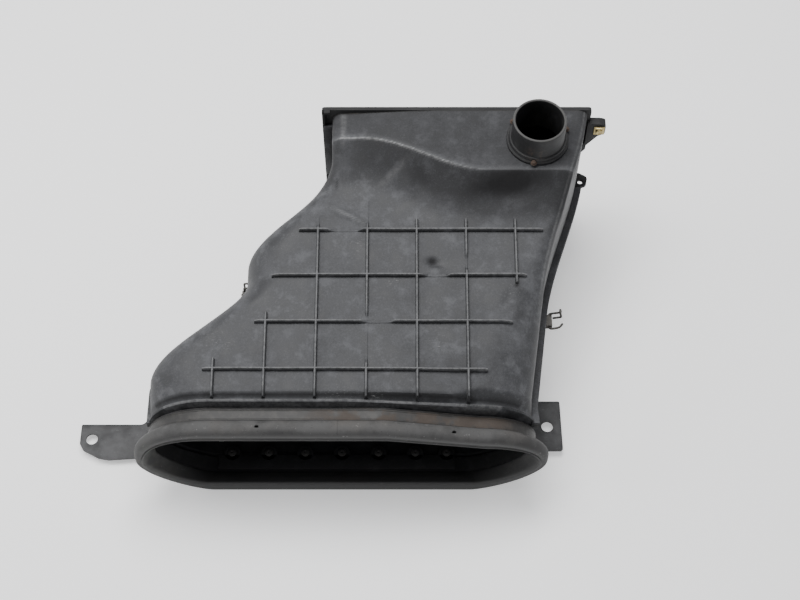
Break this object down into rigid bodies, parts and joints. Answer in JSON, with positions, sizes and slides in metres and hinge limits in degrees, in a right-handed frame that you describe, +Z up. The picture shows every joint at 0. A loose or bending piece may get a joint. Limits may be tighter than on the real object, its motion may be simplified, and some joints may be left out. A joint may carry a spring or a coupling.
{
  "type": "air filter housing",
  "caption": "Ribbed two-part plastic intake housing with a wide rubber inlet mouth, round outlet pipe, slide-out filter cartridge, wire clips and steel brackets.",
  "frame": {"origin": "centre of the housing's footprint, on the ground it lies on", "axes": "+Z up, -Y out of the rubber inlet mouth, +X towards the outlet pipe's side"},
  "size_m": [0.609, 0.397, 0.26],
  "materials": {
    "shell_plastic": "weathered charcoal moulded plastic",
    "tub_plastic": "black moulded plastic",
    "pipe_plastic": "black moulded plastic, slightly glossier",
    "cover_plastic": "black moulded plastic",
    "bellows_rubber": "dusty soft rubber",
    "seal_rubber": "black rubber",
    "band_steel": "dull steel strap with rust bloom",
    "rusty_steel": "rusted steel",
    "zinc_steel": "zinc plated",
    "clip_steel": "dull spring steel",
    "bracket_steel": "dark grey coated steel plate",
    "nut_brass": "yellow passivated spring steel",
    "filter_paper": "pleated resin-treated paper",
    "filter_foam": "moulded polyurethane rim"
  },
  "bodies": {
    "housing": {"upper_shell": "shell_plastic", "lower_shell": "tub_plastic", "seam_gasket": "seal_rubber", "inlet_bellows": "bellows_rubber", "clamp_band": "band_steel", "clamp_screw": "zinc_steel", "lip_retainer": "tub_plastic", "retainer_screws": "zinc_steel", "outlet_pipe": "pipe_plastic", "pipe_seal": "seal_rubber", "pipe_screws": "rusty_steel", "filter_tray": "shell_plastic", "tray_screws": "zinc_steel", "left_bracket": "bracket_steel", "right_bracket": "bracket_steel", "bracket_bolts": "zinc_steel", "bracket_nuts": "zinc_steel", "clip_saddles": "clip_steel", "drain_valve": "seal_rubber"},
    "cartridge": {"rear_cover": "cover_plastic", "cover_seal": "seal_rubber", "filter_frame": "filter_foam", "filter_pleats": "filter_paper", "filter_mesh": "zinc_steel", "filter_seal": "seal_rubber", "clip_nut": "nut_brass"},
    "right_clip": {"right_clip": "clip_steel"},
    "left_clip": {"left_clip": "clip_steel"},
    "cover_clip": {"cover_clip": "clip_steel"}
  },
  "joints": [
    {"name": "cartridge_slide", "type": "slide", "parent": "housing", "child": "cartridge", "axis": [0, 1, 0], "range_m": [0, 0.16]},
    {"name": "right_clip_hinge", "type": "hinge", "parent": "housing", "child": "right_clip", "pos_m": [0.23804, -0.028, 0.092], "axis": [0, 1, 0], "range_deg": [-75, 15]},
    {"name": "left_clip_hinge", "type": "hinge", "parent": "housing", "child": "left_clip", "pos_m": [-0.1136, 0.004, 0.092], "axis": [0, -1, 0], "range_deg": [0, 95]},
    {"name": "cover_clip_hinge", "type": "hinge", "parent": "cartridge", "child": "cover_clip", "pos_m": [-0.0266, 0.1835, 0.026], "axis": [0, 0, -1], "range_deg": [-60, 30]}
  ]
}
